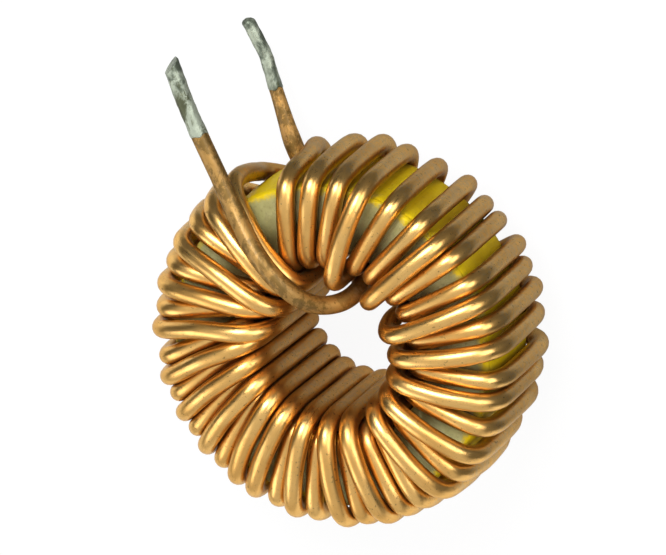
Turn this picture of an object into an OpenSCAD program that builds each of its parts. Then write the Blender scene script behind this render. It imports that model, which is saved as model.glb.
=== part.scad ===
// Toroidal inductor: a coated iron-powder ring wound with one length of heavy enamelled copper wire.
// Z is the axis of the ring and the origin is the ring's centre. The pale coded face looks up (+Z), the
// ring lies flat on its winding, and both tinned leads leave the rim side by side towards +Y.

/* [View] */
// Sub-part to show

/* [Core] */
// Outside diameter of the coated ring
core_od = 23.9; // [22:0.1:29]
// Inside diameter of the coated ring
core_id = 14.2; // [13.6:0.1:15]
// Height of the coated ring along its axis
core_height = 7.9; // [6:0.1:12]
// Rounding of the ring's four edges
core_edge = 0.6; // [0.3:0.05:1]
// Thickness of the pale colour-code coat on the upper face
coat_t = 0.1; // [0.05:0.01:0.2]

/* [Wire] */
// Diameter of the wire over its enamel
wire_d = 1.35; // [1:0.05:1.35]
// Thickness of the enamel, which is stripped where the leads are tinned
enamel_t = 0.025; // [0.02:0.005:0.05]
// Air left between the wire and the ring
lay_gap = 0.05; // [0.03:0.01:0.15]
// Sides of the wire's cross section
wire_sides = 8; // [6:1:8]

/* [Winding] */
// Number of turns around the ring
turns = 43; // [40:1:43]
// Where the first turn crosses the rim, in degrees from +X
first_turn = 100; // [90:1:110]
// Degrees of the rim that the turns take up
rim_span = 341.5; // [338:0.5:342]
// How far the nested turns stay proud at the rim
proud = 0.1; // [0:0.02:0.4]
// Bend of the stiff wire over the ring's outer edges, at its centre line
outer_bend = 1.9; // [1.4:0.1:2.4]
// How far the wire bows out between those two edges
rim_bow = 0.08; // [0:0.02:0.3]

/* [Leads] */
// Diameter of the two leads over their enamel, a little thinner than the turns
lead_d = 1.25; // [0.9:0.05:1.35]
// Tinned length of the front lead
tin_front_len = 5.8; // [3:0.1:20]
// Tinned length of the rear lead
tin_rear_len = 5; // [3:0.1:20]
// Thickness of the solder coat
tin_t = 0.09; // [0.05:0.01:0.12]

/* [Hidden] */
$fn = 64;
eps = 0.01;

wire_r = wire_d / 2;
tinned_r = lead_d / 2 - enamel_t;
bare_r = tinned_r - tin_t - 0.01;        // copper inside the solder coat
pitch_d = wire_d + 0.03;                 // two wires that lie side by side
rim_r = core_od / 2 + lay_gap + wire_r;  // wire centre on the rim
bore_r = core_id / 2 - lay_gap - wire_r; // wire centre on the bore
face_z = core_height / 2 + lay_gap + wire_r; // wire centre on either face
bend_r = core_edge + lay_gap + wire_r;   // tightest wire bend around one edge of the ring
slack = max(0, outer_bend - bend_r) * (1 - sqrt(0.5)); // a wider bend holds the wire this far off

// The bore is too small for all the turns side by side, so some nest over their neighbours.
// Height of a nested turn over the ring, in steps of nest_step: 0 on the ring, 1 nested, 1.7 on top.
nest_step = 0.94 * wire_d;
nested = [4, 7, 10, 12, 14, 16, 18, 21, 23, 25, 27, 28, 30, 32, 34, 38, 42];
topmost = [36, 40];
function has(list, i) = len([for (v = list) if (v == i) v]) > 0;
function level(i) = i == turns ? 1.1 : has(topmost, i) ? 1.7 : has(nested, i) ? 1 : 0;

// Rim: steps between turns, each row [from this turn on, degrees]. They are scaled to fill rim_span.
rim_steps = [[1, 9], [4, 11], [6, 8.5], [7, 6.5], [8, 10], [9, 7], [10, 8], [12, 11], [13, 7], [14, 10.5], [16, 9],
    [17, 8], [18, 9], [19, 7], [20, 6.5], [21, 8], [22, 6.5], [23, 10.5], [24, 7], [26, 8], [27, 7], [30, 6.5],
    [35, 10.5], [36, 6.5], [37, 9], [38, 7.5], [39, 8.5], [41, 9], [42, 10]];
// Bore: steps between turns that lie on different levels; turns on one level need the room of a wire.
bore_steps = [[1, 9.2], [10, 8.4], [18, 6.2], [21, 8.4], [28, 7.9], [34, 6.4], [35, 7.2], [36, 6.4], [41, 5]];
side_step = 12.2;   // two turns side by side on the ring
crest_step = 15;    // two nested turns side by side
first_bore = 112.3; // where the first turn enters the bore
last_bore = 107;    // the last turn lies over the first two at the bore

function stretch(list, i) = let (rows = [for (s = list) if (s[0] <= i) s[1]]) rows[len(rows) - 1];
function sum(list, n) = n <= 0 ? 0 : list[n - 1] + sum(list, n - 1);
rim_list = [for (i = [1:turns - 1]) stretch(rim_steps, i)];
rim_total = sum(rim_list, turns - 1);
function rim_az(i) = first_turn - rim_span * sum(rim_list, i - 1) / rim_total;
bore_list = [for (i = [1:turns - 1])
    level(i) == 0 && level(i + 1) == 0 ? side_step :
    level(i) == 1 && level(i + 1) == 1 ? crest_step : stretch(bore_steps, i)];
function bore_az(i) = i == turns ? last_bore - 360 : first_bore - sum(bore_list, i - 1);
bore_lean = 4; // turns lean this far along the bore, in degrees

// Points are [radius, degrees, height] around the ring, with the bend radius there as the fourth value.
function cyl(p) = [p[0] * cos(p[1]), p[0] * sin(p[1]), p[2]];
function inner(i, side) = let (up = level(i) * nest_step, r = bend_r + 0.35 * up)
    [bore_r - up, bore_az(i) + (side < 0 ? bore_lean : 0), side * (face_z + up), r];
// One turn swings aside on its way through the bore.
function swing(i) = i == 10 ? [[4.8, 25.5, 3, 2]] : [];
// To leave room for the loose end, the last turns lean on their way over the rim and crowd at the back.
last_lean = 12.6;
crowded = 2 * asin((pitch_d + 0.05) / 2 / rim_r);
function rim_lean(i) = i >= turns - 1 ? last_lean : max(0, rim_az(i + 1) + rim_lean(i + 1) + crowded - rim_az(i));
function outer(i, side) = let (up = i < turns && level(side > 0 ? i : i + 1) > 0 ? proud : 0)
    [rim_r + slack + up / 2, rim_az(i) + (side < 0 ? rim_lean(i) : 0), side * (face_z + slack + up),
        max(outer_bend, bend_r) + up];
// Half way across the rim, where the last turns and a few others bow out the most.
bowed = [17, 18, 34];
function crown(i) = let (more = has(bowed, i) ? 0.25 : 0.04 * rim_lean(i))
    [rim_r + slack + rim_bow + more, rim_az(i) + rim_lean(i) / 3, 0, 0];
// A nested turn keeps its height over the face until there is room to drop between its neighbours.
function shoulder_at(i) = i == turns ? 0.3 : 0.47; // as a part of the way from the bore to the rim
function shoulder(i, from, to, side) = level(i) == 0 ? [] :
    let (p = mix(cyl([bore_r, from, 0]), cyl([rim_r, to, 0]), shoulder_at(i)))
    [[norm(p), atan2(p[1], p[0]), side * (face_z + min(1.25, level(i)) * nest_step), 0]];
function mix(a, b, t) = a + (b - a) * t;

// Height kept by the wire that runs over the back to turn i + 1.
function back_leg(i) = shoulder(i + 1, bore_az(i + 1) + bore_lean, rim_az(i) + rim_lean(i), -1);

lift = pitch_d + 0.02; // one wire laid across another
lead_z = face_z + slack + lift + 0.1;
rear_aim = 107;    // the tinned run of the rear lead points this way, in degrees
front_aim = 110;   // and that of the front lead this way
rear_neck_at = [rim_r + 4.725, 112.1, -face_z, 0];
rear_root = [rim_r + 0.4, 114.8, -face_z, 2];
first_back = [rim_r + slack, 106, -face_z - slack, outer_bend]; // the first turn makes room for the rear lead
front_knee = [rim_r + 1.225, 116.6, lead_z, 5];
front_neck_at = [rim_r + 5.175, 115.8, lead_z, 0];
// The last turn rounds the rim in a loose arch, crosses the back of the winding, comes up through the
// bore and runs over the pale face as the front lead.
loose_end = [
    [bore_r + 2.375, 117, face_z + nest_step - 0.1, 1.5],
    [rim_r + 0.725, 118.5, face_z + slack, 1.5],
    [rim_r + 0.825, 120, face_z - 2.675, 2],
    [rim_r + 0.325, 123.5, -1.2, 2],
    [rim_r + 0.025, 126.8, 1.575 - face_z, 2],
    [rim_r - 0.275, 128.6, -face_z - slack, 1.5],
    [bore_r + 3.325, 117, -face_z - lift - 0.05, 3],
    [bore_r + 1.625, 105, -face_z - lift, 3],
    [bore_r + 0.625, 99.5, -face_z - lift, 3],
    [bore_r - 1.975, 96.6, -face_z - lift + 0.05, bend_r],
    [bore_r - 2.175, 95.8, 0.475 - face_z, 1],
    [bore_r - 2.525, 87, -2.4, 2],
    [bore_r - 2.625, 79, -0.6, 2],
    [bore_r - 2.275, 67.5, 1.2, 2],
    [bore_r - 1.875, 63.5, 2.4, 2],
    [bore_r - 2.675, 67.5, face_z - 0.675, 2],
    [bore_r - 2.825, 88, face_z + 0.825, 2],
    [bore_r - 2.075, 98.7, face_z + 1.925, 2],
    [bore_r - 0.875, 105.6, face_z + 2.725, 2],
    [bore_r + 0.475, 110.8, face_z + 2.925, 2],
    [bore_r + 2.025, 114.4, face_z + 2.825, 3],
    [bore_r + 3.425, 116, face_z + 2.425, 4],
    [rim_r - 1.275, 116.8, lead_z + 0.25, 4],
    [rim_r - 0.275, 117.2, lead_z, 4]];

front_dir = [cos(front_aim), sin(front_aim), 0];
rear_dir = [cos(rear_aim), sin(rear_aim), 0];
front_neck = cyl(front_neck_at);
rear_neck = cyl(rear_neck_at);
rear_tip = rear_neck + tin_rear_len * rear_dir;
front_tip = front_neck + tin_front_len * front_dir;

function knots(list) = [for (p = list) [cyl(p), p[3]]];
route = concat(
    [[rear_tip - 0.5 * rear_dir, 0]], knots([rear_neck_at, rear_root]),
    [for (i = [1:turns]) each knots(concat(
        i == 1 ? [] : back_leg(i - 1), [inner(i, -1)], swing(i), [inner(i, 1)],
        i == turns ? [] : concat(shoulder(i, bore_az(i), rim_az(i), 1),
            [outer(i, 1), crown(i), i == 1 ? first_back : outer(i, -1)])))],
    knots(concat(loose_end, [front_knee, front_neck_at])),
    [[front_tip - 0.5 * front_dir, 0]]);

function unit(v) = v / norm(v);
// A bend: flats that wrap the arc from outside, so the wire never cuts the corner.
flats = 3;
function bend(a, p, b, r) = let (
    u = unit(a - p), v = unit(b - p), open = acos(max(-1, min(1, u * v))), turned = 180 - open)
    r == 0 || turned < 12 ? [p] : let (
        room = 0.49 * min(norm(a - p), norm(b - p)),
        rr = min(r, room / tan(turned / 2)),
        m = unit(u + v), s = unit(v - u), centre = p + m * rr / cos(turned / 2),
        reach = rr / cos(turned / 2 / flats))
    [for (k = [0:flats - 1]) let (w = -turned / 2 + turned * (2 * k + 1) / (2 * flats))
        centre + reach * (s * sin(w) - m * cos(w))];
wire_line = concat([route[0][0]],
    [for (i = [1:len(route) - 2]) each bend(route[i - 1][0], route[i][0], route[i + 1][0], route[i][1])],
    [route[len(route) - 1][0]]);

lead_from = rim_r + 1.125; // the wire thins to the leads' diameter at this radius
// The bare copper runs on inside each solder coat.
last = len(wire_line) - 1;
spine = concat([wire_line[0], rear_neck, rear_neck - eps * rear_dir],
    [for (i = [2:last - 2]) wire_line[i]],
    [front_neck - eps * front_dir, front_neck, wire_line[last]]);
n = len(spine);
function girth(i) = i < 2 || i > n - 3 ? bare_r : norm([spine[i][0], spine[i][1]]) > lead_from ? lead_d / 2 : wire_r;

// Sweep of a round wire: the section is carried from one flat to the next without twist.
function section(t) = let (a = unit(cross(t, abs(t[2]) < 0.9 ? [0, 0, 1] : [1, 0, 0])), b = cross(t, a))
    [for (k = [0:wire_sides - 1]) a * cos(360 * k / wire_sides) + b * sin(360 * k / wire_sides)];
dirs = [for (i = [0:n - 2]) unit(spine[i + 1] - spine[i])];
function carry(ring, t0, t1) = let (m = unit(t0 + t1)) [for (o = ring) o - t0 * (o * m) / (t0 * m)];
function settle(ring, t) = [for (o = ring) o - t * (o * t)];
rings = [for (i = 0, flat = section(dirs[0]), cut = flat; i < n;
    i = i + 1,
    cut = i < n - 1 ? carry(flat, dirs[i - 1], dirs[i]) : i == n - 1 ? flat : cut,
    flat = i < n - 1 ? settle(cut, dirs[i]) : flat) [for (o = cut) spine[i] + girth(i) * o]];

module wire_sweep() {
    s = wire_sides;
    polyhedron(
        points = [for (r = rings) each r],
        faces = concat(
            [[for (k = [0:s - 1]) k]],
            [for (i = [0:n - 2]) for (k = [0:s - 1])
                [i * s + k, (i + 1) * s + k, (i + 1) * s + (k + 1) % s, i * s + (k + 1) % s]],
            [[for (k = [s - 1:-1:0]) (n - 1) * s + k]]),
        convexity = 20);
}

// Half section of the ring with its four rounded edges.
module ring_section() {
    inner_r = core_id / 2;
    outer_r = core_od / 2;
    half = core_height / 2;
    e = core_edge;
    translate([inner_r + e, -half]) square([outer_r - inner_r - 2 * e, core_height]);
    translate([inner_r, e - half]) square([outer_r - inner_r, core_height - 2 * e]);
    for (x = [inner_r + e, outer_r - e], y = [e - half, half - e])
        translate([x, y]) circle(e, $fn = 24);
}

// The part of the section that the colour code covers.
module coat_section() {
    intersection() {
        ring_section();
        translate([core_id / 2 + core_edge / 2, core_height / 2 - coat_t])
            square([(core_od - core_id) / 2 - core_edge, 1]);
    }
}

module core() {
    color([0.86, 0.76, 0.08])
        rotate_extrude($fn = 72) difference() {
            ring_section();
            translate([core_id / 2 + core_edge / 2, core_height / 2 - coat_t])
                square([(core_od - core_id) / 2 - core_edge, 1]);
        }
}

module face_coat() {
    color([0.8, 0.8, 0.68]) rotate_extrude($fn = 72) coat_section();
}

module winding() {
    color([0.72, 0.45, 0.2]) wire_sweep();
}

// A solder coat: a cylinder over the bare copper. Local Z runs out of the lead.
module sleeve(length) {
    difference() {
        cylinder(h = length, r = tinned_r);
        translate([0, 0, -1]) cylinder(h = length + 0.5, r = tinned_r - tin_t);
    }
}

module tin_front() {
    color([0.62, 0.64, 0.6])
        translate(front_neck) rotate([0, 90, front_aim])
            sleeve(tin_front_len);
}

module tin_rear() {
    color([0.62, 0.64, 0.6])
        translate(rear_neck) rotate([0, 90, rear_aim])
            sleeve(tin_rear_len);
}

core();
face_coat();
winding();
tin_front();
tin_rear();
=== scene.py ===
# Toroidal inductor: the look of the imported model.
# Lengths of the part are in millimetres. In materials, and for the floor, lights and camera, they are
# in metres.
import bpy
import math
import numpy as np
from mathutils import Matrix, Vector, kdtree


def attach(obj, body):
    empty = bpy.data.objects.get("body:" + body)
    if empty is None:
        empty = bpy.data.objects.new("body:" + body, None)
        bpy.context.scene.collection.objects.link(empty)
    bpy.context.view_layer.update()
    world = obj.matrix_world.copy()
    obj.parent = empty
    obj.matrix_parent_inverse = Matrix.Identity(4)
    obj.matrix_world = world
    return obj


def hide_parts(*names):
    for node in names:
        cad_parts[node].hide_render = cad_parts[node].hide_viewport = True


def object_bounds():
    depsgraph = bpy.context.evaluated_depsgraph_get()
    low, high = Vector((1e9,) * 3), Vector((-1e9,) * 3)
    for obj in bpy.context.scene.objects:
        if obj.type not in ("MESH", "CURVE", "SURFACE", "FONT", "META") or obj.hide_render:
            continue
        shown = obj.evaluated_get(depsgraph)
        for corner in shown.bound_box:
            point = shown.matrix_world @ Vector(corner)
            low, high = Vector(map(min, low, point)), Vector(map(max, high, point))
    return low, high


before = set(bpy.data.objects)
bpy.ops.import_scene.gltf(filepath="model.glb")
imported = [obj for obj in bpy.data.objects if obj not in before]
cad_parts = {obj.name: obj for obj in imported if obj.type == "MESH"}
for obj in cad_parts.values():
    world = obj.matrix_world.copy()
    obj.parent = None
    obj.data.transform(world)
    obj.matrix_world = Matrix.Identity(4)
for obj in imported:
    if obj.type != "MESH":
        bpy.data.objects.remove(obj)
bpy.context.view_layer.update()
MM = 0.001

# ---------------------------------------------------------------- sizes, as in the CAD source
CORE_OD, CORE_ID, CORE_H, CORE_EDGE = 23.9, 14.2, 7.9, 0.6
COAT_T = 0.1
WIRE_D, ENAMEL_T, LAY_GAP = 1.35, 0.025, 0.05
TURNS, FIRST_TURN, RIM_SPAN, PROUD = 43, 100.0, 341.5, 0.1
OUTER_BEND, RIM_BOW = 1.9, 0.08
LEAD_D, TIN_FRONT_LEN, TIN_REAR_LEN = 1.25, 5.8, 5.0

WIRE_R = WIRE_D / 2
PITCH = WIRE_D + 0.03
RIM_R = CORE_OD / 2 + LAY_GAP + WIRE_R
BORE_R = CORE_ID / 2 - LAY_GAP - WIRE_R
FACE_Z = CORE_H / 2 + LAY_GAP + WIRE_R
BEND_R = CORE_EDGE + LAY_GAP + WIRE_R
SLACK = max(0.0, OUTER_BEND - BEND_R) * (1 - math.sqrt(0.5))
TIN_R = LEAD_D / 2 - ENAMEL_T
NEST = 0.94 * WIRE_D
# Turns nested on their neighbours near the bore, turns on top of those, and turns that bow out at the rim.
NESTED = {4, 7, 10, 12, 14, 16, 18, 21, 23, 25, 27, 28, 30, 32, 34, 38, 42}
TOPMOST = {36, 40}
BOWED = {17, 18, 34}
# From which turn on, how far apart the turns are: in shares of the rim's span, then in degrees of the bore.
RIM_STEPS = [(1, 9), (4, 11), (6, 8.5), (7, 6.5), (8, 10), (9, 7), (10, 8), (12, 11), (13, 7),
             (14, 10.5), (16, 9), (17, 8), (18, 9), (19, 7), (20, 6.5), (21, 8), (22, 6.5),
             (23, 10.5), (24, 7), (26, 8), (27, 7), (30, 6.5), (35, 10.5), (36, 6.5), (37, 9),
             (38, 7.5), (39, 8.5), (41, 9), (42, 10)]
BORE_STEPS = [(1, 9.2), (10, 8.4), (18, 6.2), (21, 8.4), (28, 7.9), (34, 6.4), (35, 7.2), (36, 6.4),
              (41, 5)]
SIDE_STEP, CREST_STEP, FIRST_BORE, LAST_BORE, BORE_LEAN = 12.2, 15.0, 112.3, 107.0, 4.0
LAST_LEAN, CROWDED = 12.6, 2 * math.degrees(math.asin((PITCH + 0.05) / 2 / RIM_R))
LIFT = PITCH + 0.02
LEAD_Z = FACE_Z + SLACK + LIFT + 0.1
REAR_AIM, FRONT_AIM = 107.0, 110.0
FIRST_BACK = 106.0                  # azimuth of the first turn's bend over the rim, at the back
STRAY_TURN, STRAY = 10, (4.8, 25.5, 3)  # a turn that stands off the bore's wall, and where
SHOULDER, LAST_SHOULDER = 0.47, 0.3  # how far towards the rim a turn stays on top of the others
BOW_MORE = 0.25

# ---------------------------------------------------------------- how the wire is eased, and its mesh
STEP = 0.3          # between two points of the centre line
EASE_ROUNDS = 14
HOLD = 0.02         # how strongly each point is drawn back to the route
SAME_STRAND = 3.2   # nearer than this along the wire, two points don't push each other apart
CLEAR = 0.01        # gap to the ring and between turns
PUSH = 0.9          # share of a push that one round makes
WIRE_SIDES = 18
GROOVE = 0.34       # how near another surface has to be for the painted shade of a groove to start
FACE_GROOVE = 0.8   # the same, on the ring
OWN_POINTS = 9      # points of the centre line, each way, that a place on the wire doesn't count as near
INSIDE_TIN = 1.2    # about how far each end of the wire runs on inside its solder
HIDDEN_R = 0.42     # the wire's radius there
SCRAPED_LEN, SCRAPED_T = 4.5, 0.13  # over what length the rear lead thins towards its solder, and how much
THIN_FROM, THIN_OVER = 0.4, 1.6     # beyond the rim, where the wire goes down to the leads' width
ARC_STEP = 0.2      # between two points of a rounded corner, about
TIN_SIDES, TIN_STEP = 28, 0.1
KINK_SIDE, KINK_RISE = -0.883, 0.469  # which way the solder's ends bend
CUT_TURN = math.radians(138)        # which way the front lead's cut faces
RING_STEPS = 300
COAT_LUMP = 0.018   # how far the sprayed coat's lumps rise and fall, about


def level(i):
    """How many layers up a turn lies at the bore."""
    return 1.1 if i == TURNS else 1.7 if i in TOPMOST else 1.0 if i in NESTED else 0.0


def stretch(rows, i):
    """The value of the last row that starts at turn i or before it."""
    return [r[1] for r in rows if r[0] <= i][-1]


rim_list = [stretch(RIM_STEPS, i) for i in range(1, TURNS)]
bore_list = [SIDE_STEP if level(i) == 0 and level(i + 1) == 0 else
             CREST_STEP if level(i) == 1 and level(i + 1) == 1 else
             stretch(BORE_STEPS, i) for i in range(1, TURNS)]


def rim_az(i):
    return FIRST_TURN - RIM_SPAN * sum(rim_list[:i - 1]) / sum(rim_list)


def bore_az(i):
    return LAST_BORE - 360 if i == TURNS else FIRST_BORE - sum(bore_list[:i - 1])


def cyl(r, az, z):
    return np.array([r * math.cos(math.radians(az)), r * math.sin(math.radians(az)), z])


def inner(i, side):
    """Where a turn bends into the bore, at the pale face (side 1) or the back (side -1), and its bend."""
    up = level(i) * NEST
    az = bore_az(i) + (BORE_LEAN if side < 0 else 0)
    return cyl(BORE_R - up, az, side * (FACE_Z + up)), BEND_R + 0.35 * up


def rim_lean(i):
    """How many degrees a turn leans on its way over the rim, so that the last turns crowd at the back."""
    return LAST_LEAN if i >= TURNS - 1 else max(0.0, rim_az(i + 1) + rim_lean(i + 1) + CROWDED - rim_az(i))


def outer(i, side):
    """Where a turn bends over the rim, and its bend."""
    up = PROUD if i < TURNS and level(i if side > 0 else i + 1) > 0 else 0
    az = rim_az(i) + (rim_lean(i) if side < 0 else 0)
    return cyl(RIM_R + SLACK + up / 2, az, side * (FACE_Z + SLACK + up)), OUTER_BEND + up


def crown(i):
    """The middle of a turn's leg over the rim, which bows out a little."""
    more = BOW_MORE if i in BOWED else 0.04 * rim_lean(i)
    return cyl(RIM_R + SLACK + RIM_BOW + more, rim_az(i) + rim_lean(i) / 3, 0), 1.5


def shoulder(i, start, end, side):
    """For a turn that lies on others, the point on a face up to which it stays on top of them."""
    if level(i) == 0:
        return []
    t = LAST_SHOULDER if i == TURNS else SHOULDER
    p = cyl(BORE_R, start, 0) * (1 - t) + cyl(RIM_R, end, 0) * t
    p[2] = side * (FACE_Z + min(1.25, level(i)) * NEST)
    return [(p, 1.5)]


# After the last turn: the arch off the rim, the loop through the bore and the front lead.
# Each row is a radius, an azimuth, a height and the bend there.
LOOSE_END = [
    (8.75, 117, FACE_Z + NEST - 0.1, 1.5), (13.4, 118.5, FACE_Z + SLACK, 1.5),
    (13.5, 120, 2, 2), (13, 123.5, -1.2, 2),
    (12.7, 126.8, -3.1, 2), (12.4, 128.6, -FACE_Z - SLACK, 1.5), (9.7, 117, -FACE_Z - LIFT - 0.05, 3),
    (8, 105, -FACE_Z - LIFT, 3), (7, 99.5, -FACE_Z - LIFT, 3), (4.4, 96.6, -FACE_Z - LIFT + 0.05, BEND_R),
    (4.2, 95.8, -4.2, 1), (3.85, 87, -2.4, 2), (3.75, 79, -0.6, 2), (4.1, 67.5, 1.2, 2), (4.5, 63.5, 2.4, 2),
    (3.7, 67.5, 4, 2), (3.55, 88, 5.5, 2), (4.3, 98.7, 6.6, 2), (5.5, 105.6, 7.4, 2), (6.85, 110.8, 7.6, 2),
    (8.4, 114.4, 7.5, 3), (9.8, 116, 7.1, 4), (11.4, 116.8, LEAD_Z + 0.25, 4), (12.4, 117.2, LEAD_Z, 4),
    (13.9, 116.6, LEAD_Z, 5)]
FRONT_DIR, REAR_DIR = cyl(1, FRONT_AIM, 0), cyl(1, REAR_AIM, 0)
rear_root = cyl(RIM_R + 0.4, 114.8, -FACE_Z)
front_neck, rear_neck = cyl(17.85, 115.8, LEAD_Z), cyl(17.4, 112.1, -FACE_Z)
rear_tip = rear_neck + TIN_REAR_LEN * REAR_DIR
front_tip = front_neck + TIN_FRONT_LEN * FRONT_DIR


def route():
    """Corner points of the wire and the bend radius at each, from the rear lead's tip to the front one's."""
    pts = [(rear_tip, 0), (rear_neck, 2), (rear_root, 2)]
    for i in range(1, TURNS + 1):
        if i > 1:
            pts += shoulder(i, bore_az(i) + BORE_LEAN, rim_az(i - 1) + rim_lean(i - 1), -1)
        pts += [inner(i, -1)] + ([(cyl(*STRAY), 2)] if i == STRAY_TURN else []) + [inner(i, 1)]
        if i < TURNS:
            pts += shoulder(i, bore_az(i), rim_az(i), 1) + [outer(i, 1), crown(i)]
            first_bend = cyl(RIM_R + SLACK, FIRST_BACK, -FACE_Z - SLACK), OUTER_BEND
            pts.append(outer(i, -1) if i > 1 else first_bend)
    pts += [(cyl(r, az, z), b) for r, az, z, b in LOOSE_END]
    return pts + [(front_neck, 0), (front_tip, 0)]


def unit(v):
    return v / np.linalg.norm(v)


def rounded(pts):
    """The route with its corners rounded, as a fine polyline."""
    line = [pts[0][0]]
    for (a, _), (p, r), (b, _) in zip(pts, pts[1:], pts[2:]):
        u, v = unit(a - p), unit(b - p)
        turned = math.pi - math.acos(max(-1.0, min(1.0, float(u @ v))))
        if r == 0 or turned < 0.05:
            line.append(p)
            continue
        rr = min(r, 0.49 * min(np.linalg.norm(a - p), np.linalg.norm(b - p)) / math.tan(turned / 2))
        m, s = unit(u + v), unit(v - u)
        c = p + m * rr / math.cos(turned / 2)
        steps = max(2, int(turned * rr / ARC_STEP))
        swing = np.linspace(-turned / 2, turned / 2, steps + 1)
        line += [c + rr * (s * math.sin(w) - m * math.cos(w)) for w in swing]
    return np.array(line + [pts[-1][0]])


def resample(line, step):
    seg = np.linalg.norm(np.diff(line, axis=0), axis=1)
    arc = np.concatenate([[0], np.cumsum(seg)])
    s = np.linspace(0, arc[-1], int(round(arc[-1] / step)) + 1)
    return np.stack([np.interp(s, arc, line[:, k]) for k in range(3)], axis=1)


def off_core(p, gap):
    """Pushes points of the wire's centre line out of the coated ring, so that the wire just rests on it."""
    rad = np.maximum(np.hypot(p[:, 0], p[:, 1]), 1e-6)
    mid_r, half_w = (CORE_OD + CORE_ID) / 4, (CORE_OD - CORE_ID) / 4 - CORE_EDGE
    half_h = CORE_H / 2 - CORE_EDGE
    dr, dz = rad - mid_r, p[:, 2]
    cr, cz = np.clip(dr, -half_w, half_w), np.clip(dz, -half_h, half_h)
    er, ez = dr - cr, dz - cz
    d = np.hypot(er, ez)
    need = CORE_EDGE + WIRE_R + gap
    push = np.where((d < need) & (d > 1e-6), need / np.maximum(d, 1e-6), 1.0)
    new_r, new_z = mid_r + cr + er * push, cz + ez * push
    out = p.copy()
    out[:, :2] *= (new_r / rad)[:, None]
    out[:, 2] = new_z
    return out


def settled(line, rounds):
    """Eases the wire: its bends even out, it rests on the ring and no two turns run into each other."""
    home = line.copy()
    n = len(line)
    ahead = int(SAME_STRAND / STEP)
    reach = WIRE_D + CLEAR
    for _ in range(rounds):
        mid = line.copy()
        mid[1:-1] = 0.5 * line[1:-1] + 0.25 * (line[:-2] + line[2:])
        line = mid + HOLD * (home - mid)
        tree = kdtree.KDTree(n)
        for k, p in enumerate(line):
            tree.insert(p, k)
        tree.balance()
        push = np.zeros_like(line)
        hits = np.zeros(n)
        for k, p in enumerate(line):
            for _, j, d in tree.find_range(p, reach):
                if j - k > ahead:
                    away = (line[k] - line[j]) / max(d, 1e-6) * (reach - d) / 2
                    push[k] += away
                    push[j] -= away
                    hits[k] += 1
                    hits[j] += 1
        line = line + push / np.maximum(hits, 1)[:, None] * PUSH
        line = off_core(line, CLEAR)
        line[0], line[-1] = home[0], home[-1]
    return line


wire_path = settled(resample(rounded(route()), STEP), EASE_ROUNDS)

# ---------------------------------------------------------------- mesh helpers
wire_tree = kdtree.KDTree(len(wire_path))
for number, point in enumerate(wire_path):
    wire_tree.insert(point, number)
wire_tree.balance()


def to_wire(points, reach, own=None):
    """From 0 to 1, how close each point lies to the wire, without the stretch that it is on itself."""
    close = np.zeros(len(points))
    for j, p in enumerate(points):
        for _, i, d in wire_tree.find_range(p, WIRE_R + reach):
            if own is None or abs(i - own[j]) > OWN_POINTS:
                close[j] = max(close[j], 1 - (d - WIRE_R) / reach)
    return np.minimum(close, 1)


def to_core(points):
    """From 0 to 1, how close each point lies to the ring."""
    out = (np.abs(np.hypot(points[:, 0], points[:, 1]) - (CORE_OD + CORE_ID) / 4)
           - (CORE_OD - CORE_ID) / 4 + CORE_EDGE)
    up = np.abs(points[:, 2]) - CORE_H / 2 + CORE_EDGE
    gap = np.hypot(np.maximum(out, 0), np.maximum(up, 0)) - CORE_EDGE
    return np.clip(1 - gap / GROOVE, 0, 1)


def mesh_object(name, verts_mm, faces, uvs=None, groove=None):
    me = bpy.data.meshes.new(name)
    verts = np.asarray(verts_mm, dtype=np.float64) * MM
    me.from_pydata(verts.tolist(), [], faces)
    if groove is not None:
        me.attributes.new("groove", "FLOAT", "POINT").data.foreach_set("value", groove)
    if uvs is not None:
        layer = me.uv_layers.new(name="along")
        layer.data.foreach_set("uv", np.asarray(uvs, dtype=np.float32).reshape(-1))
    me.polygons.foreach_set("use_smooth", [True] * len(me.polygons))
    me.update()
    ob = bpy.data.objects.new(name, me)
    bpy.context.collection.objects.link(ob)
    return ob


def carried_frames(path):
    """Two unit vectors across the path at each of its points, carried along it without twist."""
    t = np.gradient(path, axis=0)
    t /= np.linalg.norm(t, axis=1)[:, None]
    a = np.zeros_like(path)
    side = np.cross(t[0], [0, 0, 1.0])
    a[0] = side / np.linalg.norm(side)
    for k in range(1, len(path)):
        v = a[k - 1] - t[k] * (a[k - 1] @ t[k])
        a[k] = v / np.linalg.norm(v)
    return a, np.cross(t, a)


def wave(s, seed, *periods):
    """A smooth wobble between -1 and 1, from sines of different periods. Nothing in it is random."""
    return sum(math.sin(2 * math.pi * s / p + seed * (1.7 + 0.6 * k) + k)
               for k, p in enumerate(periods)) / len(periods)


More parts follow.
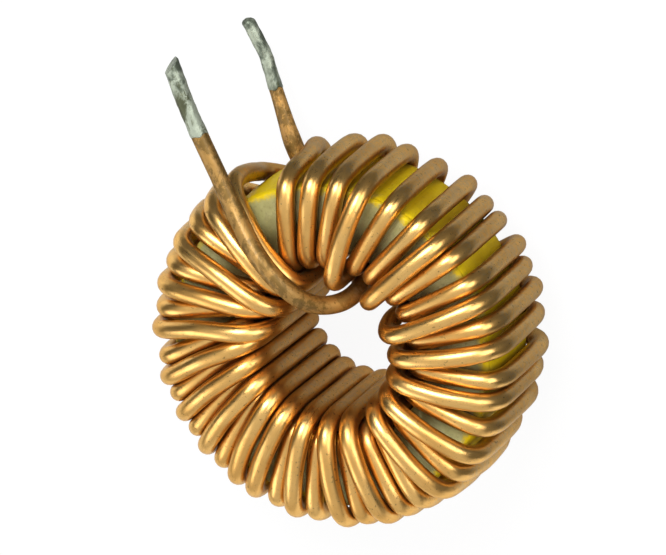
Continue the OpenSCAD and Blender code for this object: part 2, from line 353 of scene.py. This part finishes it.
def tube(name, path, radius, sides, offset):
    """A round tube along the path, with a radius for each of its points and its faces turned outwards.

    offset is the number of the path's first point on the whole centre line."""
    n = len(path)
    a, b = carried_frames(path)
    ang = np.linspace(0, 2 * math.pi, sides, endpoint=False)
    ring = np.cos(ang)[None, :, None] * a[:, None, :] + np.sin(ang)[None, :, None] * b[:, None, :]
    verts = (path[:, None, :] + radius[:, None, None] * ring).reshape(-1, 3)
    arc = np.concatenate([[0], np.cumsum(np.linalg.norm(np.diff(path, axis=0), axis=1))])
    faces, uvs = [], []
    for i in range(n - 1):
        for k in range(sides):
            k2 = (k + 1) % sides
            faces.append((i * sides + k, i * sides + k2, (i + 1) * sides + k2, (i + 1) * sides + k))
            u0, u1 = k / sides, (k + 1) / sides
            uvs += [(u0, arc[i] / 10), (u1, arc[i] / 10), (u1, arc[i + 1] / 10), (u0, arc[i + 1] / 10)]
    faces.append(tuple(reversed(range(sides))))
    uvs += [(0.5, 0)] * sides
    faces.append(tuple((n - 1) * sides + k for k in range(sides)))
    uvs += [(0.5, arc[-1] / 10)] * sides
    own = np.repeat(np.arange(n), sides) + offset
    return mesh_object(name, verts, faces, uvs, np.maximum(to_wire(verts, GROOVE, own), to_core(verts)))


# ---------------------------------------------------------------- materials
class Nodes:
    """Short calls to build a material's node tree."""

    def __init__(self, name):
        self.mat = bpy.data.materials.new(name)
        self.mat.use_nodes = True
        self.tree = self.mat.node_tree
        self.shader = self.tree.nodes["Principled BSDF"]

    def add(self, kind, **sockets):
        node = self.tree.nodes.new(kind)
        for key, value in sockets.items():
            self.put(node.inputs[key.replace("_", " ")], value)
        return node

    def put(self, socket, value):
        if isinstance(value, bpy.types.NodeSocket):
            self.tree.links.new(value, socket)
        elif socket.type == "RGBA" and len(value) == 3:
            socket.default_value = (*value, 1)
        else:
            socket.default_value = value

    def place(self):
        return self.add("ShaderNodeTexCoord").outputs["Object"]

    def noise(self, vector, scale, detail=3.0, rough=0.5, distortion=0.0):
        return self.add("ShaderNodeTexNoise", Vector=vector, Scale=scale, Detail=detail, Roughness=rough,
                        Distortion=distortion).outputs["Fac"]

    def scaled(self, vector, x, y, z):
        return self.add("ShaderNodeMapping", Vector=vector, Scale=(x, y, z)).outputs["Vector"]

    def near(self):
        """How close the wire or the ring is: 1 where they touch."""
        node = self.tree.nodes.new("ShaderNodeAttribute")
        node.attribute_name = "groove"
        return node.outputs["Fac"]

    def axes(self, vector):
        return self.add("ShaderNodeSeparateXYZ", Vector=vector).outputs

    def step(self, value, start, end, low=0.0, high=1.0):
        """Goes smoothly from low to high while value goes from start to end."""
        node = self.add("ShaderNodeMapRange", Value=value)
        node.interpolation_type = "SMOOTHSTEP"
        for key, number in (("From Min", start), ("From Max", end), ("To Min", low), ("To Max", high)):
            node.inputs[key].default_value = number
        return node.outputs["Result"]

    def mix(self, fac, a, b):
        node = self.tree.nodes.new("ShaderNodeMix")
        node.data_type = "RGBA"
        colours = [s for s in node.inputs if s.name in "AB" and s.type == "RGBA"]
        for socket, value in zip([node.inputs["Factor"]] + colours, (fac, a, b)):
            self.put(socket, value)
        return [s for s in node.outputs if s.type == "RGBA"][0]

    def math(self, op, *values):
        node = self.tree.nodes.new("ShaderNodeMath")
        node.operation = op
        for socket, value in zip(node.inputs, values):
            self.put(socket, value)
        return node.outputs[0]

    def blend(self, *pairs):
        """The sum of values, each times its weight."""
        total = 0.0
        for value, weight in pairs:
            total = self.math("MULTIPLY_ADD", value, weight, total)
        return total

    def bump(self, height, distance_m, strength):
        return self.add("ShaderNodeBump", Height=height, Distance=distance_m,
                        Strength=strength).outputs["Normal"]

    def surface(self, **sockets):
        for key, value in sockets.items():
            self.put(self.shader.inputs[key.replace("_", " ")], value)
        return self.mat


def srgb(r, g, b):
    return tuple(((c / 255 + 0.055) / 1.055) ** 2.4 if c > 10 else c / 255 / 12.92 for c in (r, g, b))


# The wire's colours in linear light: enamel, its marks, the scraped leads, what lies on it, a khaki of dust
# and painted sheen, and the painted shade of the grooves.
AMBER, DEEP_AMBER = (0.87, 0.53, 0.17), (0.76, 0.425, 0.115)
SCUFFED, DRAWN = (0.56, 0.33, 0.10), (0.52, 0.27, 0.07)
SCRAPED, SOILED = (0.56, 0.325, 0.10), (0.20, 0.12, 0.035)
DUST_AND_SHEEN, SPECKLED, GROOVE_SHADE = (0.58, 0.44, 0.25), (0.16, 0.09, 0.03), (0.25, 0.10, 0.035)
# In centimetres from each end of the wire: scraped up to the smaller number, enamelled beyond the larger.
REAR_SCRAPED, FRONT_SCRAPED = (1.3, 0.8), (2.6, 1.5)
FLUX_AT = front_neck + 2.0 * FRONT_DIR + np.array([-0.37, 0.0, 0.45])


def wire_material(wire_length):
    """Amber enamel over copper: fine draw lines, dull and darker patches, and scratched, duller leads.

    wire_length is in mm. Along the wire, run counts in centimetres from its rear end."""
    m = Nodes("enamelled_copper")
    place = m.place()
    along = m.add("ShaderNodeUVMap").outputs["UV"]
    patches = m.noise(place, 210, 3, 0.6)
    lines = m.noise(m.scaled(along, 10, 1.4, 1), 3, 4, 0.65)
    scuffs = m.noise(m.scaled(along, 3, 6, 1), 4, 4, 0.7, 0.6)
    nicks = m.noise(place, 2200, 3, 0.6)
    run = m.axes(along)[1]
    front = m.step(run, wire_length / 10 - FRONT_SCRAPED[0], wire_length / 10 - FRONT_SCRAPED[1])
    lead = m.math("MAXIMUM", m.step(run, *REAR_SCRAPED), front)
    side = m.step(m.math("ABSOLUTE", m.axes(place)[2]), 0.0044, 0.0030)
    dust_sheen_noise = m.noise(place, 2600, 4, 0.8)
    tone = m.mix(m.step(patches, 0.35, 0.68), AMBER, DEEP_AMBER)
    tone = m.mix(m.math("MULTIPLY", m.step(scuffs, 0.52, 0.75), 0.6), tone, SCUFFED)
    tone = m.mix(m.math("MULTIPLY", m.step(lines, 0.5, 0.8), 0.45), tone, DRAWN)
    wear = m.noise(m.scaled(place, 1, 0.6, 1), 1000, 5, 0.75, 0.5)
    worn = m.mix(m.step(wear, 0.44, 0.57), SCRAPED, SOILED)
    tone = m.mix(m.math("MULTIPLY", lead, 0.92), tone, worn)
    tone = m.mix(m.math("MULTIPLY", front, 0.35), tone, SOILED)
    # Dust and painted sheen: a greyish khaki in patches on the legs over the rim and through the bore.
    tone = m.mix(m.math("MULTIPLY", side, m.step(dust_sheen_noise, 0.40, 0.60, 0.0, 0.6)), tone, DUST_AND_SHEEN)
    rough = m.step(m.blend((lines, 0.4), (patches, 0.35), (scuffs, 0.25)), 0.35, 0.65, 0.26, 0.40)
    rough = m.math("MULTIPLY_ADD", lead, 0.28, rough)
    specks = m.step(m.noise(place, 3800, 2, 0.6), 0.64, 0.70)
    tone = m.mix(m.math("MULTIPLY", specks, 0.55), tone, SPECKLED)
    # Painted shade: the wire darkens to deep brown where it lies close to another turn or the ring, patchy
    # with the scuffs.
    groove_shade_mask = m.step(m.blend((m.near(), 1.0), (scuffs, 0.3)), 0.35, 1.05)
    tone = m.mix(m.math("MULTIPLY", groove_shade_mask, 0.72), tone, GROOVE_SHADE)
    height = m.blend((lines, 0.5), (nicks, 0.3), (scuffs, 0.4), (m.math("MULTIPLY", wear, lead), 1.0),
                     (m.math("MULTIPLY", dust_sheen_noise, side), 0.8))
    return m.surface(Base_Color=tone, Metallic=1.0, Specular_Tint=(0.62, 0.56, 0.45), Roughness=rough,
                     Coat_Weight=0.2, Coat_Roughness=0.22, Coat_IOR=1.5,
                     Normal=m.bump(height, 0.00003, 0.7))


def tin_material():
    """Dipped solder: satin grey, with faint ripples and brown-green flux left in patches."""
    m = Nodes("tinned_copper")
    place = m.place()
    blotch = m.noise(place, 700, 3, 0.55, 0.4)
    flux = m.noise(m.scaled(place, 1, 0.45, 1), 950, 5, 0.75, 0.8)
    tone = m.mix(m.step(blotch, 0.40, 0.56), srgb(92, 100, 86), srgb(164, 172, 154))
    tone = m.mix(m.step(flux, 0.54, 0.64, 0, 0.7), tone, srgb(74, 76, 44))
    patch = m.add("ShaderNodeVectorMath")
    patch.operation = "DISTANCE"
    m.put(patch.inputs[0], m.scaled(place, 1, 0.4, 1))
    m.put(patch.inputs[1], tuple(FLUX_AT * MM * (1, 0.4, 1)))
    spread = m.blend((patch.outputs["Value"], 1000.0), (flux, 2.2))
    tone = m.mix(m.step(spread, 1.85, 1.55, 0, 0.9), tone, srgb(64, 66, 34))
    return m.surface(Base_Color=tone, Metallic=0.55, Roughness=m.step(blotch, 0.3, 0.7, 0.34, 0.52),
                     Normal=m.bump(m.blend((blotch, 1.0), (flux, 0.7)), 0.00010, 0.8))


def epoxy_material(name, pale_from, pale_to):
    """Sprayed epoxy: yellow, and on the coded face a thin pale coat that fades out near the rim.

    Noise adds about 1.6 mm to the radius before it is compared with pale_from and pale_to."""
    m = Nodes(name)
    place = m.place()
    x, y, z = m.axes(place)
    radius = m.math("SQRT", m.math("ADD", m.math("MULTIPLY", x, x), m.math("MULTIPLY", y, y)))
    cloud = m.noise(place, 380, 4, 0.6)
    grain = m.noise(place, 3300, 3, 0.7)
    yellow = m.mix(m.step(cloud, 0.35, 0.65), srgb(216, 186, 4), srgb(232, 206, 18))
    yellow = m.mix(m.step(grain, 0.56, 0.76, 0, 0.5), yellow, srgb(158, 134, 14))
    pale = m.mix(m.step(cloud, 0.35, 0.65), srgb(163, 159, 104), srgb(184, 179, 129))
    pale = m.mix(m.step(grain, 0.5, 0.7, 0, 0.6), pale, srgb(138, 134, 88))
    # Painted shade: the pale coat darkens to brown towards the bore, among the crowded turns.
    pale = m.mix(m.step(m.blend((radius, 1.0), (cloud, 0.001)), 0.0108, 0.0088), pale, srgb(96, 84, 46))
    streaks = m.noise(m.scaled(place, 2.2, 0.7, 1), 900, 4, 0.7, 0.5)
    pale = m.mix(m.step(streaks, 0.50, 0.62, 0, 0.5), pale, srgb(146, 140, 96))
    # Painted sheen: greyish patches on the yellow near the front face, where its rounded edge turns away.
    sheen_patches = m.step(m.noise(place, 520, 4, 0.7, 0.6), 0.50, 0.58, 0, 0.6)
    front_edge_sheen = m.math("MULTIPLY", m.step(z, 0.0024, 0.0036), sheen_patches)
    yellow = m.mix(front_edge_sheen, yellow, srgb(176, 164, 100))
    edge = m.math("ADD", radius, m.blend((cloud, 0.0016), (grain, 0.0009), (streaks, 0.0008)))
    tone = m.mix(m.step(edge, pale_from, pale_to), pale, yellow) if pale_from else yellow
    # Painted shade: the coat darkens to brown where a turn of the wire lies close to it.
    tone = m.mix(m.step(m.blend((m.near(), 1.0), (cloud, 0.3)), 0.45, 1.0, 0, 0.75), tone, srgb(92, 70, 34))
    return m.surface(Base_Color=tone, Roughness=0.6, Specular_IOR_Level=0.2,
                     Normal=m.bump(m.blend((grain, 1.0), (cloud, 0.6)), 0.00006, 0.6))


# ---------------------------------------------------------------- pieces
def place_piece(ob, mat, node):
    ob.data.materials.append(mat)
    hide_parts(node)
    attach(ob, "root")


# The wire thins a little where it leaves the ring as a lead, and ends inside the solder at both ends.
out = np.hypot(wire_path[:, 0], wire_path[:, 1])
thinned = np.clip((out - RIM_R - THIN_FROM) / THIN_OVER, 0, 1)
wire_rad = WIRE_R + (LEAD_D / 2 - WIRE_R) * thinned * thinned * (3 - 2 * thinned)
first = int((TIN_REAR_LEN - INSIDE_TIN) / STEP)
final = len(wire_path) - int((TIN_FRONT_LEN - INSIDE_TIN) / STEP)
scraped = np.clip(1 - (np.arange(len(wire_rad)) * STEP - TIN_REAR_LEN) / SCRAPED_LEN, 0, 1)
wire_rad -= SCRAPED_T * scraped * scraped * (3 - 2 * scraped)
hidden = int(INSIDE_TIN / STEP)
wire_rad[:first + hidden] = wire_rad[final - hidden:] = HIDDEN_R
kept = wire_path[first:final]
place_piece(tube("wire", kept, wire_rad[first:final], WIRE_SIDES, first),
            wire_material(np.linalg.norm(np.diff(kept, axis=0), axis=1).sum()), "winding")


def solder(name, neck, direction, length, cut, dome, kink, thin):
    """The dipped end of a lead: a skin with a ragged start and faint ripples, then a cut or melted tip.

    cut is how far the slanted cut drops, dome how long the rounded tip is, kink how much the end bends
    aside, and thin how much is taken off its radius."""
    side = unit(np.cross(direction, [0, 0, 1.0]))
    rise = np.cross(side, direction)
    aside = KINK_SIDE * side + KINK_RISE * rise
    rings, sides = int(length / TIN_STEP) + 6, TIN_SIDES
    verts = []
    for i in range(rings):
        t = i / (rings - 1)
        for k in range(sides):
            w = 2 * math.pi * k / sides
            ragged = -0.12 + 0.2 * wave(w, 2.0 + length, 2 * math.pi / 3, 2 * math.pi / 5, 2 * math.pi)
            tip = length - cut * (1 + math.cos(w - CUT_TURN)) / 2
            s = ragged + (tip - ragged) * t
            settled_in = min(1.0, max(0.0, (s - 0.2) / 0.6))
            lump = 0.012 * wave(s, 1.3 * length, 2.3, 1.1, 0.7) + 0.014 * wave(s + w, 4.0, 1.9, 0.9)
            skin = LEAD_D / 2 - thin + 0.022 + (TIN_R - LEAD_D / 2 - 0.012) * settled_in + lump * settled_in
            near_tip = max(0.0, 1 - (length - s) / dome)
            r = skin * math.sqrt(max(0.0, 1 - (0.35 if cut else 0.97) * near_tip ** 2))
            off = kink * (0.198 * (math.hypot(s - 2.4, 0.3) + s - 2.4) / 2 - 0.056 * max(0.0, s))
            verts.append(neck + s * direction + r * math.cos(w) * side + r * math.sin(w) * rise + off * aside)
    faces = [(i * sides + k, (i + 1) * sides + k,
              (i + 1) * sides + (k + 1) % sides, i * sides + (k + 1) % sides)
             for i in range(rings - 1) for k in range(sides)]
    faces += [tuple(range(sides)), tuple((rings - 1) * sides + k for k in reversed(range(sides)))]
    ob = mesh_object(name, np.array(verts), faces)
    ob.data.polygons[-1].use_smooth = False
    return ob


tin = tin_material()
place_piece(solder("solder_front", front_neck, FRONT_DIR, TIN_FRONT_LEN - 0.2, 0.85, 0.3, -0.3, 0.0),
            tin, "tin_front")
place_piece(solder("solder_rear", rear_neck, REAR_DIR, TIN_REAR_LEN + 0.25, 0.0, 0.38, 1.0, 0.12),
            tin, "tin_rear")


def ring_piece(name, section, around, seed):
    """A closed section turned around Z, with the faint lumps of a sprayed coat.

    Each point of the section is a radius, a height and how far the lumps may move it, from 0 to 1."""
    n = len(section)
    verts = []
    for j in range(around):
        a = 2 * math.pi * j / around
        for k, (r, z, free) in enumerate(section):
            swell = wave(a, seed + k * 0.35, 2 * math.pi / 5, 2 * math.pi / 11, 2 * math.pi / 23)
            lump = COAT_LUMP * free * (swell + wave(k / n * 9, seed + 5 * math.sin(3 * a), 1.0, 2.7))
            up = lump * (1 if z > 0 else -1)
            verts.append(((r + lump) * math.cos(a), (r + lump) * math.sin(a), z + up))
    faces = [(j * n + k, ((j + 1) % around) * n + k,
              ((j + 1) % around) * n + (k + 1) % n, j * n + (k + 1) % n)
             for j in range(around) for k in range(n)]
    return mesh_object(name, np.array(verts), faces, groove=to_wire(verts, FACE_GROOVE))


def ring_outline(r0, r1, z0, z1, e):
    """Points of a rounded rectangle from radius r0 to r1 and height z0 to z1, with corners of radius e."""
    pts = []
    corners = ((r1 - e, z1 - e, 0), (r0 + e, z1 - e, 90), (r0 + e, z0 + e, 180), (r1 - e, z0 + e, 270))
    for cr, cz, turn in corners:
        pts += [(cr + e * math.cos(math.radians(turn + w)), cz + e * math.sin(math.radians(turn + w)))
                for w in range(0, 91, 15)]
    line = []
    for a, b in zip(pts, pts[1:] + pts[:1]):
        steps = max(1, int(math.dist(a, b) / 0.45))
        line += [(a[0] + (b[0] - a[0]) * i / steps, a[1] + (b[1] - a[1]) * i / steps) for i in range(steps)]
    return line


CORE_SKIN, CORE_SUNK = 0.03, 0.02   # how far the scene's core stays inside the CAD one, and below the coat
core_line = ring_outline(CORE_ID / 2 + CORE_SKIN, CORE_OD / 2 - CORE_SKIN,
                         CORE_SKIN - CORE_H / 2, CORE_H / 2 - COAT_T - CORE_SUNK, CORE_EDGE)
place_piece(ring_piece("ring_core", [(r, z, 1.0) for r, z in core_line], RING_STEPS, 1.0),
            epoxy_material("yellow_epoxy", 0, 0), "core")
# The pale coat is a flat ring sunk into the core, which it overlaps. Only its top has lumps.
FACE_INSET, FACE_BOTTOM, FACE_TOP, FACE_EDGE, FACE_FREE = 0.1, 0.55, 0.012, 0.25, 0.6
face_outline = ring_outline(CORE_ID / 2 + FACE_INSET, CORE_OD / 2 - FACE_INSET,
                            CORE_H / 2 - FACE_BOTTOM, CORE_H / 2 - FACE_TOP, FACE_EDGE)
face_line = [(r, z, FACE_FREE if z > CORE_H / 2 - 0.15 else 0.0) for r, z in face_outline]
place_piece(ring_piece("pale_face", face_line, RING_STEPS, 4.0),
            epoxy_material("pale_epoxy", 0.0128, 0.0134), "face_coat")

# ---------------------------------------------------------------- floor, light and camera
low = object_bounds()[0][2]
# To the camera the paper is white, with a faint shadow. To other rays it is bright towards -X and -Y, grey
# towards +X and +Y, and nearly black further out there: painted shade, which the metal shows as dark
# reflections.
NEAR_TO, FAR_FROM = 0.0155, 0.024
paper = Nodes("floor_paper")
spot = paper.place()
away = paper.add("ShaderNodeVectorMath", Vector=spot)
away.operation = "LENGTH"
near = paper.step(away.outputs["Value"], NEAR_TO, FAR_FROM, 1.0, 0.0)
grain = paper.noise(spot, 900)
rays = paper.add("ShaderNodeLightPath").outputs
mirrored = paper.math("MAXIMUM", rays["Is Glossy Ray"], rays["Is Transmission Ray"])
close_mirror = paper.math("MULTIPLY", mirrored, paper.math("MULTIPLY", near, 0.2))
shown = paper.math("MAXIMUM", rays["Is Camera Ray"], close_mirror)
white = paper.add("ShaderNodeMixShader", Fac=0.07)
paper.put(white.inputs[1], paper.add("ShaderNodeEmission", Color=(1, 1, 1), Strength=1.0).outputs[0])
matt = paper.mix(grain, (0.92,) * 3, (0.96,) * 3)
paper.put(white.inputs[2], paper.add("ShaderNodeBsdfDiffuse", Color=matt).outputs[0])
both = paper.add("ShaderNodeMixShader", Fac=shown)
across, up, _ = paper.axes(spot)
back = paper.step(paper.math("MULTIPLY_ADD", across, 0.8, up), -0.004, 0.008)
bright = paper.mix(grain, (0.80,) * 3, (0.86,) * 3)
lit = paper.mix(paper.math("MULTIPLY", back, near), bright, (0.34,) * 3)
dark = paper.math("MULTIPLY", back, paper.math("SUBTRACT", 1.0, near))
paper.surface(Base_Color=paper.mix(dark, lit, (0.05,) * 3), Roughness=0.9)
paper.put(both.inputs[1], paper.shader.outputs[0])
paper.put(both.inputs[2], white.outputs[0])
paper.put(paper.tree.nodes["Material Output"].inputs["Surface"], both.outputs[0])
FLOOR_HALF, FLOOR_GAP = 2.0, 0.00002
floor_mesh = bpy.data.meshes.new("floor")
square = [(x * FLOOR_HALF, y * FLOOR_HALF) for x, y in ((-1, -1), (1, -1), (1, 1), (-1, 1))]
floor_mesh.from_pydata([(x, y, low - FLOOR_GAP) for x, y in square], [], [(0, 1, 2, 3)])
floor_mesh.materials.append(paper.mat)
floor = bpy.data.objects.new("floor", floor_mesh)
bpy.context.collection.objects.link(floor)

TO_CAMERA = Vector((0.3744, 0.3221, 0.8695)).normalized()
IMAGE_UP = Vector((-0.0645, 0.9445, -0.3221))
IMAGE_RIGHT = IMAGE_UP.cross(TO_CAMERA).normalized()
IMAGE_UP = TO_CAMERA.cross(IMAGE_RIGHT).normalized()
DISTANCE, VIEW_W, SENSOR_W = 0.6, 46.87 * MM, 36
AIM_RIGHT, AIM_UP = -1.26, 3.63     # from the ring's middle to the picture's, in millimetres
centre = (AIM_RIGHT * IMAGE_RIGHT + AIM_UP * IMAGE_UP) * MM
cam = bpy.data.cameras.new("camera")
cam.sensor_width = SENSOR_W
cam.lens = SENSOR_W * DISTANCE / VIEW_W
cam.clip_start, cam.clip_end = 0.01, 20
camera = bpy.data.objects.new("camera", cam)
bpy.context.collection.objects.link(camera)
camera.matrix_world = Matrix.Translation(centre + DISTANCE * TO_CAMERA) @ Matrix(
    (IMAGE_RIGHT, IMAGE_UP, TO_CAMERA)).transposed().to_4x4()
bpy.context.scene.camera = camera


def softbox(name, direction, distance, width, height, watts):
    light = bpy.data.lights.new(name, "AREA")
    light.shape, light.size, light.size_y = "RECTANGLE", width, height
    light.energy = watts
    ob = bpy.data.objects.new(name, light)
    d = Vector(direction).normalized()
    ob.matrix_world = Matrix.Translation(d * distance) @ d.to_track_quat("Z", "Y").to_matrix().to_4x4()
    bpy.context.collection.objects.link(ob)


softbox("key", (0.04, 0.63, 0.77), 0.5, 0.28, 0.22, 2.4)
softbox("fill", (-0.7, -0.45, 0.6), 0.6, 0.4, 0.3, 0.85)
softbox("side", (0.86, 0.32, 0.62), 0.6, 0.42, 0.36, 1.7)

# The room: a white ceiling over dark walls, which come up brighter on the side towards -Y.
world = bpy.data.worlds.new("studio")
bpy.context.scene.world = world
world.use_nodes = True
room = world.node_tree
height = room.nodes.new("ShaderNodeSeparateXYZ")
behind = room.nodes.new("ShaderNodeMath")
behind.operation = "MINIMUM"
behind.inputs[1].default_value = 0.0
slope = room.nodes.new("ShaderNodeMath")
slope.operation = "MULTIPLY_ADD"
slope.inputs[1].default_value = -0.75
shade = room.nodes.new("ShaderNodeMapRange")
shade.interpolation_type = "SMOOTHSTEP"
for key, number in (("From Min", 0.5), ("From Max", 0.95), ("To Min", 0.035), ("To Max", 0.7)):
    shade.inputs[key].default_value = number
room.links.new(room.nodes.new("ShaderNodeTexCoord").outputs["Generated"], height.inputs[0])
room.links.new(height.outputs["Y"], behind.inputs[0])
room.links.new(behind.outputs[0], slope.inputs[0])
room.links.new(height.outputs["Z"], slope.inputs[2])
room.links.new(slope.outputs[0], shade.inputs["Value"])
room.links.new(shade.outputs["Result"], room.nodes["Background"].inputs["Strength"])
room.nodes["Background"].inputs["Color"].default_value = (1, 1, 1, 1)
bpy.context.scene.view_settings.view_transform = "Standard"
